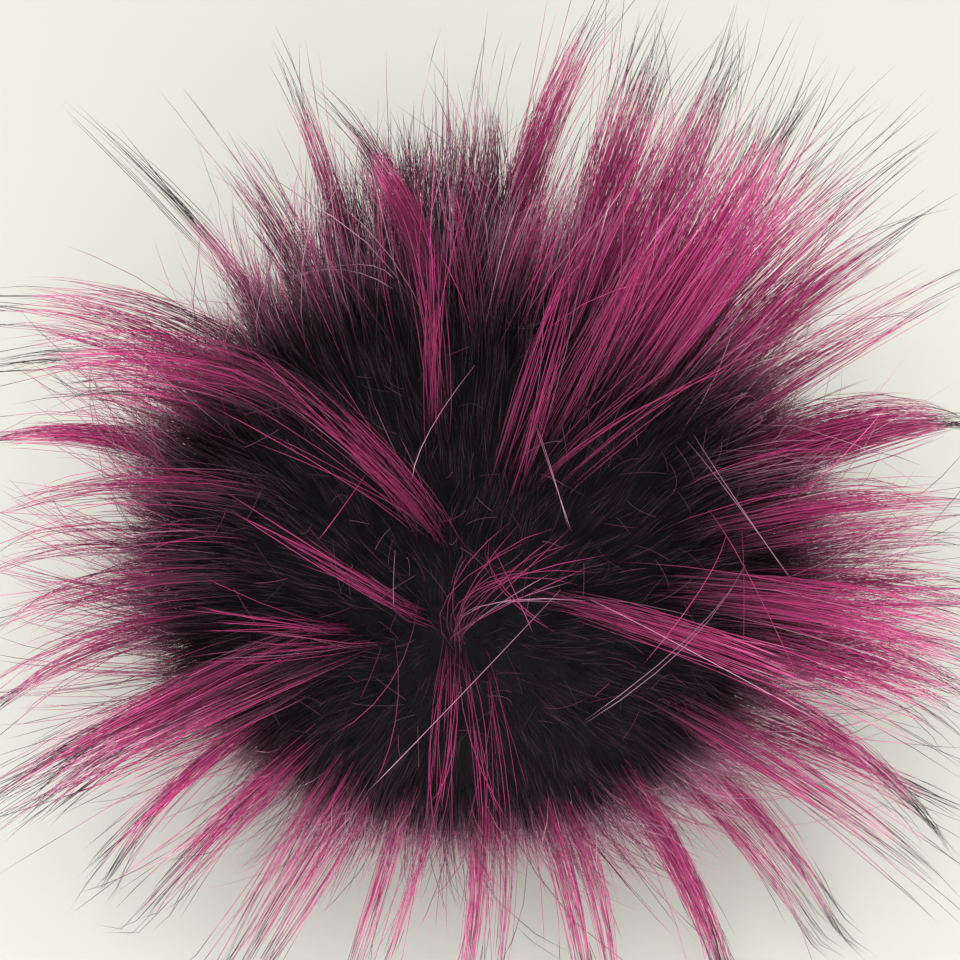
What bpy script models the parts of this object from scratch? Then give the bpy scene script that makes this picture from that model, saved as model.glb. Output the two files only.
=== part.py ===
"""A faux-fur pom pom: a gathered ball of dense underfur with long guard-hair locks, lying on its flat spot.

Metres, +Z up. The origin is the centre of the flat spot that the ball rests on, and -Y is the front, where
the hair parts in a whorl.
"""
import math
import random
from collections import namedtuple

import bmesh
import bpy
import numpy as np
from mathutils import Vector, noise

MM = 0.001
UP = Vector((0, 0, 1))

# Ball of dense underfur
BALL_WIDTH = 76 * MM
BALL_HEIGHT = 55 * MM
FLAT_SPOT_WIDTH = 30 * MM
BALL_SUBDIVISIONS = 4
LUMP_SHARE = 0.035             # how far the underfur swells and dips, as a share of the radius
LUMPS_PER_RADIUS = 1.7

# Guard-hair locks
REACH_OUT = 62 * MM            # ball's centre to the tip of a level lock
REACH_UP = 51 * MM             # ball's centre to the tip of an upright lock
REACH_SHARES = (0.84, 1.05)    # shortest and longest lock, as shares of that reach
UNDER_SHORTENING = 0.35        # how much shorter a lock is that grows from underneath
DROOP = 5 * MM                 # how far a level lock's tip sinks under its own weight
LOCK_RADIUS = 2.3 * MM         # round a lock's three corners, near its root
TIP_RADIUS = 0.5 * MM
TAPER = 1.5                    # above 1 keeps a lock full for longer
LOCK_CORNERS = 3
MAIN_RINGS = 4
FILL_RINGS = 3
LOCK_GAP = 0.3 * MM            # least air between two locks, and between a lock and the ball
ROOM_STEPS = 4                 # places between two sections where that air is measured
KNEE_SHARE = 0.45              # where a lock turns from its nap towards its tip, as a share of its length
NAP_SHARE = 0.6                # how far it follows its nap up to there
FLOOR_REACH = 3 * MM           # a lock whose tip is lower than this lies on the floor
FLOOR_PRESS = 7 * MM           # how far it would sink if the floor didn't hold its end level
LOWEST_ROOT = 6 * MM
ROOT_STRAY = 3.2 * MM          # furthest a lock's root may be from the face of the ball that it grows on
MOST_LOCKS = 270
FILL_CANDIDATES = 1100
FILL_JITTER = 0.10
BARE_FACING = 0.45             # the face of the whorl is dark and bare but for the main locks
SEED = 7

# The nap grows away from a point low and forward in the ball
NAP_FOCUS_OFFSET = Vector((-3, -7, -6)) * MM

# Dial that the main locks are placed on: a disc through the ball's centre, square to the whorl's sight line
DIAL_PITCH = math.radians(52)
EYE_DISTANCE = 200 * MM
DIAL_RIGHT = Vector((1, 0, 0))
DIAL_UP = Vector((0, math.sin(DIAL_PITCH), math.cos(DIAL_PITCH)))
DIAL_TOWARD = Vector((0, -math.cos(DIAL_PITCH), math.sin(DIAL_PITCH)))

# Millimetres on the dial; depth is how far the tip stands in front of it
Lock = namedtuple("Lock", "root_x root_y tip_x tip_y depth")
MAIN_LOCKS = [Lock(*row) for row in (
    # upper left
    (-25, 28, -48, 53, 4),
    (-21, 34, -33, 50, -12),
    (-17, 38, -23, 57, -12),
    # crown
    (-4, 30, -15, 51, 14),
    (1, 27, -6, 52, 12),
    (-3, 16, -5, 42, 36),
    (5, 10, 12, 36, 38),
    (11, 15, 22, 38, 28),
    (10, 9, 31, 24, 34),
    (-6, 43, -3, 61, -22),
    # upper right fan
    (4, 41, 15, 63, -14),
    (13, 35, 23, 63, -10),
    (17, 27, 31, 59, -4),
    (21, 22, 40, 55, 6),
    (26, 27, 50, 49, 0),
    (31, 23, 55, 40, -6),
    # right
    (37, 22, 53, 27, -20),
    (32, 15, 60, 31, 8),
    (39, 14, 49, 16, -24),
    (35, 10, 58, 14, -12),
    (38, 5, 52, 5, -18),
    (30, 1, 60, 4, 4),
    (38, -3, 58, -4, -8),
    (28, -5, 62, -12, 8),
    (10, -6, 55, -22, 20),
    # lower right
    (33, -17, 56, -37, 4),
    (26, -20, 58, -43, 10),
    (27, -27, 46, -50, 4),
    # bottom
    (20, -30, 32, -58, 8),
    (11, -33, 16, -60, 8),
    (3, -35, -2, -60, 8),
    (-8, -33, -19, -57, 8),
    # lower left
    (-15, -30, -32, -54, 6),
    (-21, -26, -44, -46, 4),
    (-28, -22, -47, -41, 2),
    (-30, -17, -54, -34, 4),
    (-20, -13, -58, -32, 14),
    # left
    (-37, -9, -59, -20, 2),
    (-31, -4, -59, -12, 8),
    (-38, 2, -59, -3, -6),
    (-27, 6, -58, 4, 10),
    (-36, 12, -60, 12, -6),
    (-30, 16, -55, 16, 14),
    (-21, 18, -59, 21, 8),
    (-34, 20, -59, 26, -12),
    (-28, 24, -56, 31, -2),
    # over the whorl
    (-16, -11, -34, -10, 34),
    (-8, -8, -26, 2, 37),
    (-6, 3, -23, 21, 37),
    (-4, -14, -8, -38, 28),
    (2, -16, 5, -38, 28),
)]

UNDERFUR_COLOUR = (0.012, 0.008, 0.012)
UNDERFUR_ROUGHNESS = 0.9
GUARD_HAIR_COLOUR = (0.42, 0.045, 0.15)
GUARD_HAIR_ROUGHNESS = 0.45


def ball_shape():
    """Radii and centre of the ball, as wide and high as wanted once its foot is pressed flat."""
    half_width = BALL_WIDTH / 2
    foot = math.sqrt(1 - (FLAT_SPOT_WIDTH / BALL_WIDTH) ** 2)
    half_height = BALL_HEIGHT / (1 + foot)
    return Vector((half_width, half_width, half_height)), UP * (half_height * foot)


BALL_RADII, BALL_CENTRE = ball_shape()
NAP_FOCUS = BALL_CENTRE + NAP_FOCUS_OFFSET
EYE = BALL_CENTRE + DIAL_TOWARD * EYE_DISTANCE


def stretch(vector, factors):
    return Vector(a * b for a, b in zip(vector, factors))


def shrink(vector, factors):
    return Vector(a / b for a, b in zip(vector, factors))


def dial_tip(lock):
    """Where a lock's tip is: on the sight line of its dial mark, at its depth or else on the floor."""
    spread = 1 - lock.depth * MM / EYE_DISTANCE
    mark = (DIAL_RIGHT * lock.tip_x + DIAL_UP * lock.tip_y) * MM * spread
    tip = BALL_CENTRE + mark + DIAL_TOWARD * lock.depth * MM
    if tip.z < 0:
        tip = tip.lerp(EYE, -tip.z / (EYE.z - tip.z))
    return tip


def dial_root(lock):
    """Where the sight line of a lock's root mark first meets the ball, or passes it closest."""
    mark = BALL_CENTRE + (DIAL_RIGHT * lock.root_x + DIAL_UP * lock.root_y) * MM
    start = shrink(EYE - BALL_CENTRE, BALL_RADII)
    step = shrink(mark - EYE, BALL_RADII)
    along = start.dot(step) / step.length_squared
    beyond = along ** 2 - (start.length_squared - 1) / step.length_squared
    nearest = start - step * (along + math.sqrt(max(beyond, 0)))
    return BALL_CENTRE + stretch(nearest.normalized(), BALL_RADII)


def clear_of_ball(point, room):
    """Move a point that is too near the ball: outward above the ball's middle, sideways below it."""
    radii = BALL_RADII * (1 + LUMP_SHARE) + Vector((room, room, room))
    offset = point - BALL_CENTRE
    depth = shrink(offset, radii).length
    if depth >= 1:
        return point
    if offset.z >= 0:
        return BALL_CENTRE + offset / depth
    level = Vector((offset.x, offset.y, 0)).normalized() * radii.x
    return BALL_CENTRE + level * math.sqrt(1 - (offset.z / radii.z) ** 2) + UP * offset.z


def radius_at(share):
    return TIP_RADIUS + (LOCK_RADIUS - TIP_RADIUS) * (1 - share ** TAPER)


def path_point(root, tip, share):
    """Point on a lock's axis: out along the nap, then over to the tip, above the floor and off the ball."""
    way = tip - root
    if tip.z < FLOOR_REACH:
        tip = tip - UP * FLOOR_PRESS
    nap = (root - NAP_FOCUS).normalized()
    knee = root + (nap * NAP_SHARE * way.length + way * (1 - NAP_SHARE)) * KNEE_SHARE
    point = root.lerp(knee, share).lerp(knee.lerp(tip, share), share)
    point.z = max(point.z, radius_at(share) / 2)
    return clear_of_ball(point, radius_at(share) + LOCK_GAP)


def fill_lock_ends():
    """Root and tip of each candidate between the main locks, spread evenly over the ball."""
    rng = random.Random(SEED)
    golden_angle = math.pi * (3 - math.sqrt(5))
    for index in range(FILL_CANDIDATES):
        height = 1 - 2 * (index + 0.5) / FILL_CANDIDATES
        ring = math.sqrt(1 - height ** 2)
        turn = index * golden_angle
        spot = Vector((math.cos(turn) * ring, math.sin(turn) * ring, height))
        spot += Vector(rng.uniform(-1, 1) for _ in range(3)) * FILL_JITTER
        share = rng.uniform(*REACH_SHARES)
        root = BALL_CENTRE + stretch(spot.normalized(), BALL_RADII)
        nap = (root - NAP_FOCUS).normalized()
        if root.z < LOWEST_ROOT or nap.dot(DIAL_TOWARD) > BARE_FACING:
            continue
        share *= 1 - UNDER_SHORTENING * max(-nap.z, 0)
        tip = BALL_CENTRE + stretch(nap, (REACH_OUT, REACH_OUT, REACH_UP)) * share
        tip.z = max(tip.z - DROOP * (1 - abs(nap.z)), 0)
        yield root, tip


def lock_sections(root, tip, rings):
    """Centre and radius of each three-sided section of a lock, from its root on."""
    shares = [ring / rings for ring in range(1, rings + 1)]
    return [(root, LOCK_RADIUS)] + [(path_point(root, tip, share), radius_at(share)) for share in shares]


def room_taken(sections):
    """Balls strung along a lock past its root, as rows of x, y, z and radius, to test for room."""
    rows = []
    for (start, start_radius), (end, end_radius) in zip(sections, sections[1:]):
        for step in range(1, ROOM_STEPS + 1):
            share = step / ROOM_STEPS
            rows.append((*start.lerp(end, share), start_radius + (end_radius - start_radius) * share))
    return np.array(rows[ROOM_STEPS // 2:])


def stands_apart(room, others):
    taken = np.vstack(others)
    distance = np.linalg.norm(room[:, None, :3] - taken[None, :, :3], axis=2)
    return (distance > room[:, None, 3] + taken[None, :, 3] + LOCK_GAP).all()


def all_locks():
    """Sections of each lock: the main ones, then as many between as find room."""
    locks = [lock_sections(dial_root(lock), dial_tip(lock), MAIN_RINGS) for lock in MAIN_LOCKS]
    rooms = [room_taken(sections) for sections in locks]
    for root, tip in fill_lock_ends():
        sections = lock_sections(root, tip, FILL_RINGS)
        room = room_taken(sections)
        if len(locks) < MOST_LOCKS and stands_apart(room, rooms):
            locks.append(sections)
            rooms.append(room)
    return locks


def ring_points(centre, along, radius):
    """Corners of a lock's section, a level side below, raised where it would sink into the floor."""
    side = UP.cross(along)
    side = side.normalized() if side.length > MM else DIAL_RIGHT
    above = along.cross(side).normalized()
    turns = [math.pi / 2 + 2 * math.pi * corner / LOCK_CORNERS for corner in range(LOCK_CORNERS)]
    points = [centre + (side * math.cos(turn) + above * math.sin(turn)) * radius for turn in turns]
    lift = max(-min(point.z for point in points), 0)
    return [point + UP * lift for point in points]


def match_corners(face, points):
    """Start the section at the corner that twists the lock's foot least."""
    middle = face.calc_center_median()
    centre = sum(points, Vector()) / len(points)
    turned = [points[first:] + points[:first] for first in range(len(points))]

    def twist(order):
        return sum((vert.co - middle - point + centre).length for vert, point in zip(face.verts, order))

    best = min(turned, key=twist)
    return turned.index(best)


def grow_lock(bm, face, sections):
    """Extrude one face of the ball into a curved, tapering lock."""
    first_corner = None
    behind = face.calc_center_median()
    for centre, radius in sections[1:]:
        points = ring_points(centre, (centre - behind).normalized(), radius)
        if first_corner is None:
            first_corner = match_corners(face, points)
        points = points[first_corner:] + points[:first_corner]
        face = bmesh.ops.extrude_discrete_faces(bm, faces=[face])["faces"][0]
        for vert, point in zip(face.verts, points):
            vert.co = point
        face.material_index = 1
        for edge in face.edges:
            for neighbour in edge.link_faces:
                neighbour.material_index = 1
        behind = centre


def take_root_faces(bm, locks):
    """Each lock's nearest face of the ball, where one is near, with no two of them sharing an edge."""
    free = {face: face.calc_center_median() for face in bm.faces}
    free = {face: middle for face, middle in free.items() if middle.z > LOWEST_ROOT / 2}
    taken = []
    for sections in locks:
        root = sections[0][0]
        face = min(free, key=lambda candidate: (free[candidate] - root).length)
        if (free[face] - root).length > ROOT_STRAY:
            continue
        taken.append((face, sections))
        for edge in face.edges:
            for neighbour in edge.link_faces:
                free.pop(neighbour, None)
    return taken


def make_ball(bm):
    """Lumpy flattened ball, pressed flat where it meets the floor."""
    bmesh.ops.create_icosphere(bm, subdivisions=BALL_SUBDIVISIONS, radius=1)
    for vert in bm.verts:
        lump = noise.noise(vert.co * LUMPS_PER_RADIUS) * 2 * LUMP_SHARE
        vert.co = BALL_CENTRE + stretch(vert.co, BALL_RADII) * (1 + min(max(lump, -LUMP_SHARE), LUMP_SHARE))
        vert.co.z = max(vert.co.z, 0)


def make_material(name, colour, roughness):
    material = bpy.data.materials.new(name)
    material.use_nodes = True
    shader = material.node_tree.nodes["Principled BSDF"]
    shader.inputs["Base Color"].default_value = (*colour, 1)
    shader.inputs["Roughness"].default_value = roughness
    shader.inputs["Metallic"].default_value = 0
    return material


def make_fur_ball():
    bm = bmesh.new()
    make_ball(bm)
    for face, sections in take_root_faces(bm, all_locks()):
        grow_lock(bm, face, sections)
    bmesh.ops.recalc_face_normals(bm, faces=bm.faces)
    mesh = bpy.data.meshes.new("fur_ball")
    bm.to_mesh(mesh)
    bm.free()
    mesh.shade_smooth()
    mesh.materials.append(make_material("underfur", UNDERFUR_COLOUR, UNDERFUR_ROUGHNESS))
    mesh.materials.append(make_material("guard_hair", GUARD_HAIR_COLOUR, GUARD_HAIR_ROUGHNESS))
    ball = bpy.data.objects.new("fur_ball", mesh)
    bpy.context.collection.objects.link(ball)
    return ball


def main():
    for leftover in list(bpy.data.objects):
        bpy.data.objects.remove(leftover)
    make_fur_ball()


main()
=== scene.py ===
import math
import random

import bpy
import numpy as np
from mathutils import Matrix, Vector, kdtree


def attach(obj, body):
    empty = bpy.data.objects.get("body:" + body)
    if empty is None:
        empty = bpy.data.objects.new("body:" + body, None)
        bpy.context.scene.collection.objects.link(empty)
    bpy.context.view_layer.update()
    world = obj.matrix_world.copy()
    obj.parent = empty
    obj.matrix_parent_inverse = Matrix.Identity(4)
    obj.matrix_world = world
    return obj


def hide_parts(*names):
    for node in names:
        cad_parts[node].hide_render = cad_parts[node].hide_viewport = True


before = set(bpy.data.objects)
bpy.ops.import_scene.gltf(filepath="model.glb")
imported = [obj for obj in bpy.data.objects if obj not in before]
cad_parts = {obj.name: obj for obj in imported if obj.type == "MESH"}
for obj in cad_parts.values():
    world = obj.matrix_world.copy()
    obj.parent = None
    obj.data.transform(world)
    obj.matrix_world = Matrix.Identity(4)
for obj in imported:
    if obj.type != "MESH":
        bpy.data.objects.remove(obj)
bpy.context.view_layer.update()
print("frame loaded")

mm = 0.001
tiny = 1e-9  # keeps a division by a length of 0 from failing
up = Vector((0, 0, 1))

# The ball and its locks, as in the part's source

ball = {
    "width": 76 * mm,
    "height": 55 * mm,
    "flatSpot": 30 * mm,
    "lumpShare": 0.035,  # how far the underfur swells and dips, as a share of the radius
    "napFocusOffset": Vector((-3, -7, -6)) * mm,  # the nap grows away from here
}

lock = {
    "reachOut": 62 * mm,  # ball's centre to the tip of a level lock
    "reachUp": 51 * mm,  # and of an upright one
    "reachShares": (0.84, 1.05),
    "underShortening": 0.35,
    "droop": 5 * mm,
    "radius": 2.3 * mm,
    "tipRadius": 0.5 * mm,
    "taper": 1.5,
    "gap": 0.3 * mm,
    "roomSteps": 4,
    "kneeShare": 0.45,  # where a lock turns from its nap towards its tip
    "napShare": 0.6,  # how far it follows its nap up to there
    "floorReach": 3 * mm,  # a tip lower than this lies on the floor
    "floorPress": 7 * mm,
    "lowestRoot": 6 * mm,
    "mainRings": 4,
    "fillRings": 3,
    "most": 270,
    "candidates": 1100,
    "jitter": 0.10,
    "bareFacing": 0.45,
    "seed": 7,
}

view = {
    "pitch": math.radians(52),  # the photo looks down at the whorl this steeply
    "eyeDistance": 200 * mm,
    "aim": (0.6 * mm, 7.2 * mm),  # middle of the picture, on the dial
    "halfPicture": 57.6 * mm,  # half the picture's width at the ball's centre
    "clipStart": 10 * mm,
}


def ballShape():
    halfWidth = ball["width"] / 2
    foot = math.sqrt(1 - (ball["flatSpot"] / ball["width"]) ** 2)
    halfHeight = ball["height"] / (1 + foot)
    return Vector((halfWidth, halfWidth, halfHeight)), up * (halfHeight * foot)


ballRadii, ballCentre = ballShape()
napFocus = ballCentre + ball["napFocusOffset"]
# the dial is a disc through the ball's centre, square to the photo's line of sight
dialRight = Vector((1, 0, 0))
dialUp = Vector((0, math.sin(view["pitch"]), math.cos(view["pitch"])))
dialToward = Vector((0, -math.cos(view["pitch"]), math.sin(view["pitch"])))
eye = ballCentre + dialToward * view["eyeDistance"]


def stretch(vector, factors):
    return Vector(a * b for a, b in zip(vector, factors))


def shrink(vector, factors):
    return Vector(a / b for a, b in zip(vector, factors))


def dialTip(x, y, depth):
    spread = 1 - depth * mm / view["eyeDistance"]
    mark = (dialRight * x + dialUp * y) * mm * spread
    tip = ballCentre + mark + dialToward * depth * mm
    if tip.z < 0:
        tip = tip.lerp(eye, -tip.z / (eye.z - tip.z))
    return tip


def dialRoot(x, y):
    mark = ballCentre + (dialRight * x + dialUp * y) * mm
    start = shrink(eye - ballCentre, ballRadii)
    step = shrink(mark - eye, ballRadii)
    along = start.dot(step) / step.length_squared
    beyond = along ** 2 - (start.length_squared - 1) / step.length_squared
    nearest = start - step * (along + math.sqrt(max(beyond, 0)))
    return ballCentre + stretch(nearest.normalized(), ballRadii)


def clearOfBall(point, room):
    radii = ballRadii * (1 + ball["lumpShare"]) + Vector((room, room, room))
    offset = point - ballCentre
    depth = shrink(offset, radii).length
    if depth >= 1:
        return point
    if offset.z >= 0:
        return ballCentre + offset / depth
    level = Vector((offset.x, offset.y, 0)).normalized() * radii.x
    return ballCentre + level * math.sqrt(1 - (offset.z / radii.z) ** 2) + up * offset.z


def radiusAt(share):
    return lock["tipRadius"] + (lock["radius"] - lock["tipRadius"]) * (1 - share ** lock["taper"])


def pathPoint(root, tip, share):
    way = tip - root
    if tip.z < lock["floorReach"]:
        tip = tip - up * lock["floorPress"]
    nap = (root - napFocus).normalized()
    knee = root + (nap * lock["napShare"] * way.length + way * (1 - lock["napShare"])) * lock["kneeShare"]
    point = root.lerp(knee, share).lerp(knee.lerp(tip, share), share)
    point.z = max(point.z, radiusAt(share) / 2)
    return clearOfBall(point, radiusAt(share) + lock["gap"])


def spiralSpots(count):
    # spread evenly over a ball of radius 1, each a golden angle on from the last
    index = np.arange(count)
    height = 1 - 2 * (index + 0.5) / count
    ring = np.sqrt(1 - height ** 2)
    turn = index * math.pi * (3 - math.sqrt(5))
    return np.stack((np.cos(turn) * ring, np.sin(turn) * ring, height), axis=-1)


def fillLockEnds():
    rng = random.Random(lock["seed"])
    for place in spiralSpots(lock["candidates"]):
        spot = Vector(place) + Vector(rng.uniform(-1, 1) for _ in range(3)) * lock["jitter"]
        share = rng.uniform(*lock["reachShares"])
        root = ballCentre + stretch(spot.normalized(), ballRadii)
        nap = (root - napFocus).normalized()
        if root.z < lock["lowestRoot"] or nap.dot(dialToward) > lock["bareFacing"]:
            continue
        share *= 1 - lock["underShortening"] * max(-nap.z, 0)
        reach = (lock["reachOut"], lock["reachOut"], lock["reachUp"])
        tip = ballCentre + stretch(nap, reach) * share
        tip.z = max(tip.z - lock["droop"] * (1 - abs(nap.z)), 0)
        yield root, tip


def roomTaken(root, tip, rings):
    sections = [(root, lock["radius"])]
    for ring in range(1, rings + 1):
        sections.append((pathPoint(root, tip, ring / rings), radiusAt(ring / rings)))
    rows = []
    for (start, startRadius), (end, endRadius) in zip(sections, sections[1:]):
        for step in range(1, lock["roomSteps"] + 1):
            share = step / lock["roomSteps"]
            rows.append((*start.lerp(end, share), startRadius + (endRadius - startRadius) * share))
    return np.array(rows[lock["roomSteps"] // 2:])


def standsApart(room, others):
    taken = np.vstack(others)
    distance = np.linalg.norm(room[:, None, :3] - taken[None, :, :3], axis=2)
    return (distance > room[:, None, 3] + taken[None, :, 3] + lock["gap"]).all()


def sideLockEnds(mainEnds):
    rooms = [roomTaken(root, tip, lock["mainRings"]) for root, tip in mainEnds]
    ends = []
    for root, tip in fillLockEnds():
        room = roomTaken(root, tip, lock["fillRings"])
        if len(rooms) < lock["most"] and standsApart(room, rooms):
            rooms.append(room)
            ends.append((root, tip))
    return ends


# Camera, light and floor

def addCamera():
    camera = bpy.data.objects.new("camera", bpy.data.cameras.new("camera"))
    bpy.context.collection.objects.link(camera)
    target = ballCentre + dialRight * view["aim"][0] + dialUp * view["aim"][1]
    camera.location = eye
    camera.rotation_euler = (target - eye).to_track_quat("-Z", "Y").to_euler()
    camera.data.angle = 2 * math.atan(view["halfPicture"] / view["eyeDistance"])
    camera.data.clip_start = view["clipStart"]
    bpy.context.scene.camera = camera


light = {
    "world": (0.97, 0.98, 0.94),
    "worldStrength": 1.35,
    "windowSize": 1.2,  # metres, as are the places
    "windowPower": 10.0,  # watts
    "windowAt": Vector((-0.3, -0.25, 1.2)),
    "fillSize": 0.9,
    "fillPower": 24.0,
    "fillAt": Vector((0.12, -1.0, 0.4)),
}


def addAreaLight(name, size, power, location):
    lamp = bpy.data.lights.new(name, "AREA")
    lamp.size = size
    lamp.energy = power
    holder = bpy.data.objects.new(name, lamp)
    bpy.context.collection.objects.link(holder)
    holder.location = location
    holder.rotation_euler = (ballCentre - location).to_track_quat("-Z", "Y").to_euler()


def addLight():
    world = bpy.data.worlds.new("studio")
    world.use_nodes = True
    background = world.node_tree.nodes["Background"]
    background.inputs["Color"].default_value = (*light["world"], 1)
    background.inputs["Strength"].default_value = light["worldStrength"]
    bpy.context.scene.world = world
    addAreaLight("window", light["windowSize"], light["windowPower"], light["windowAt"])
    addAreaLight("fill", light["fillSize"], light["fillPower"], light["fillAt"])
    bpy.context.scene.view_settings.view_transform = "Standard"


addCamera()
addLight()
print("camera and light placed")


# Shader helpers

def addNode(tree, kind, inputs=None, **settings):
    node = tree.nodes.new(kind)
    for key, value in settings.items():
        setattr(node, key, value)
    for key, value in (inputs or {}).items():
        if isinstance(value, bpy.types.NodeSocket):
            tree.links.new(value, node.inputs[key])
        else:
            node.inputs[key].default_value = value
    return node


def addMath(tree, operation, first, second=0.0, clamp=False):
    settings = {"operation": operation, "use_clamp": clamp}
    return addNode(tree, "ShaderNodeMath", {0: first, 1: second}, **settings).outputs[0]


def addRamp(tree, factor, stops):
    ramp = addNode(tree, "ShaderNodeValToRGB", {"Fac": factor})
    elements = ramp.color_ramp.elements
    while len(elements) < len(stops):
        elements.new(1)
    for element, (place, colour) in zip(elements, stops):
        element.position = place
        element.color = (*colour, 1)
    return ramp.outputs["Color"]


def mixColour(tree, factor, first, second, blend="MIX"):
    mix = addNode(tree, "ShaderNodeMix", data_type="RGBA", blend_type=blend)
    for index, value in ((0, factor), (6, first), (7, second)):
        if isinstance(value, bpy.types.NodeSocket):
            tree.links.new(value, mix.inputs[index])
        else:
            mix.inputs[index].default_value = value
    return mix.outputs[2]


def newMaterial(name):
    material = bpy.data.materials.new(name)
    material.use_nodes = True
    return material, material.node_tree, material.node_tree.nodes["Principled BSDF"]


strandTones = {
    "middle": 0.5,  # a guard hair is mauve up to this tone and magenta above
    "flickerTurns": 17.0,  # how often its lightness comes round over all tones
    "hueTurns": 41.0,  # and its lean to violet
}


def strandGroup():
    group = bpy.data.node_groups.new("strandMap", "ShaderNodeTree")
    for name in ("Along", "Tone", "Flicker", "Hue"):
        group.interface.new_socket(name, in_out="OUTPUT", socket_type="NodeSocketFloat")
    group.interface.new_socket("Tip Shift", in_out="INPUT", socket_type="NodeSocketFloat")
    given = addNode(group, "NodeGroupInput")
    uv = addNode(group, "ShaderNodeUVMap", uv_map="OFBake").outputs["UV"]
    split = addNode(group, "ShaderNodeSeparateXYZ", {0: uv})
    tone = split.outputs["X"]
    offMiddle = addMath(group, "SUBTRACT", tone, strandTones["middle"])
    shift = addMath(group, "MULTIPLY", offMiddle, given.outputs["Tip Shift"])
    along = addMath(group, "ADD", split.outputs["Y"], shift, clamp=True)
    flicker = addMath(group, "FRACT", addMath(group, "MULTIPLY", tone, strandTones["flickerTurns"]))
    hue = addMath(group, "FRACT", addMath(group, "MULTIPLY", tone, strandTones["hueTurns"]))
    addNode(group, "NodeGroupOutput", {"Along": along, "Tone": tone, "Flicker": flicker, "Hue": hue})
    return group


strandMap = strandGroup()

guardFinish = {
    "tipShift": 0.06,  # how much further up the ramp high tones are
    "vividStops": [
        (0.00, (0.010, 0.005, 0.008)),
        (0.10, (0.028, 0.007, 0.015)),
        (0.20, (0.090, 0.011, 0.034)),
        (0.32, (0.230, 0.016, 0.077)),
        (0.46, (0.385, 0.038, 0.143)),
        # light band: partly the hair's own magenta, partly painted back-light on tips that stand past the
        # rim
        (0.60, (0.515, 0.098, 0.232)),
        (0.70, (0.360, 0.080, 0.168)),
        (0.76, (0.026, 0.018, 0.023)),
        (1.00, (0.008, 0.007, 0.008)),
    ],
    "mauveStops": [
        (0.00, (0.008, 0.006, 0.008)),
        (0.12, (0.034, 0.014, 0.023)),
        (0.24, (0.120, 0.044, 0.072)),
        (0.40, (0.300, 0.130, 0.190)),
        # light band: partly the hair's own mauve, partly painted back-light on tips past the rim
        (0.62, (0.540, 0.340, 0.400)),
        (0.71, (0.300, 0.200, 0.235)),
        (0.78, (0.030, 0.024, 0.027)),
        (1.00, (0.012, 0.011, 0.012)),
    ],
    "violet": (0.90, 0.97, 1.02),  # some hairs lean this way
    "darkest": 0.6,  # single hairs are between these lightnesses
    "lightest": 1.2,
    "roughness": 0.55,
    "specular": 0.13,
}

underfurFinish = {
    "tipShift": 0.2,
    "darkStops": [
        (0.00, (0.0025, 0.0023, 0.0030)),
        (0.60, (0.0042, 0.0034, 0.0048)),
        (1.00, (0.0078, 0.0056, 0.0082)),
    ],
    # the colour of the painted back-light on the underfur at the rim and underneath
    "mauveStops": [
        (0.00, (0.014, 0.007, 0.010)),
        (0.45, (0.150, 0.055, 0.085)),
        (1.00, (0.420, 0.220, 0.285)),
    ],
    "darkest": 0.8,
    "lightest": 1.15,
    "roughness": 0.7,
    "specular": 0.08,
}

backingFinish = {
    "stops": [(0.3, (0.0022, 0.0019, 0.0026)), (0.7, (0.0042, 0.0032, 0.0045))],
    "cloudScale": 260.0,
    "cloudDetail": 4.0,
    "fibreScale": 2200.0,
    "fibreDetail": 2.0,
    "bumpStrength": 0.5,
    "bumpHeight": 0.4 * mm,
    "roughness": 0.9,
    "specular": 0.04,
}

floorFinish = {
    "stops": [(0.3, (0.385, 0.38, 0.35)), (0.7, (0.40, 0.395, 0.365))],
    "cloudScale": 6.0,
    "cloudDetail": 3.0,
    "roughness": 0.8,
    "specular": 0.5,
}


def setSurface(tree, shader, colour, finish):
    tree.links.new(colour, shader.inputs["Base Color"])
    shader.inputs["Roughness"].default_value = finish["roughness"]
    shader.inputs["Specular IOR Level"].default_value = finish["specular"]


def addNoise(tree, place, scale, detail):
    noise = addNode(tree, "ShaderNodeTexNoise", {"Vector": place, "Scale": scale, "Detail": detail})
    return noise.outputs["Fac"]


def newCloudMaterial(name, finish):
    material, tree, shader = newMaterial(name)
    place = addNode(tree, "ShaderNodeTexCoord").outputs["Object"]
    cloud = addNoise(tree, place, finish["cloudScale"], finish["cloudDetail"])
    setSurface(tree, shader, addRamp(tree, cloud, finish["stops"]), finish)
    return material, tree, shader, place


def flickered(tree, strands, colour, finish):
    spread = finish["lightest"] - finish["darkest"]
    level = addMath(tree, "MULTIPLY_ADD", strands.outputs["Flicker"], spread)
    level.node.inputs[2].default_value = finish["darkest"]
    grey = addNode(tree, "ShaderNodeCombineXYZ", {0: level, 1: level, 2: level}).outputs[0]
    return mixColour(tree, 1.0, colour, grey, "MULTIPLY")


def newStrandMaterial(name, finish):
    material, tree, shader = newMaterial(name)
    strands = addNode(tree, "ShaderNodeGroup", {"Tip Shift": finish["tipShift"]}, node_tree=strandMap)
    return material, tree, shader, strands


def guardMaterial():
    material, tree, shader, strands = newStrandMaterial("guardHair", guardFinish)
    mauve = addRamp(tree, strands.outputs["Along"], guardFinish["mauveStops"])
    vivid = addRamp(tree, strands.outputs["Along"], guardFinish["vividStops"])
    isVivid = addMath(tree, "GREATER_THAN", strands.outputs["Tone"], strandTones["middle"])
    colour = mixColour(tree, isVivid, mauve, vivid)
    colour = mixColour(tree, strands.outputs["Hue"], colour, (*guardFinish["violet"], 1), "MULTIPLY")
    setSurface(tree, shader, flickered(tree, strands, colour, guardFinish), guardFinish)
    return material


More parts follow.
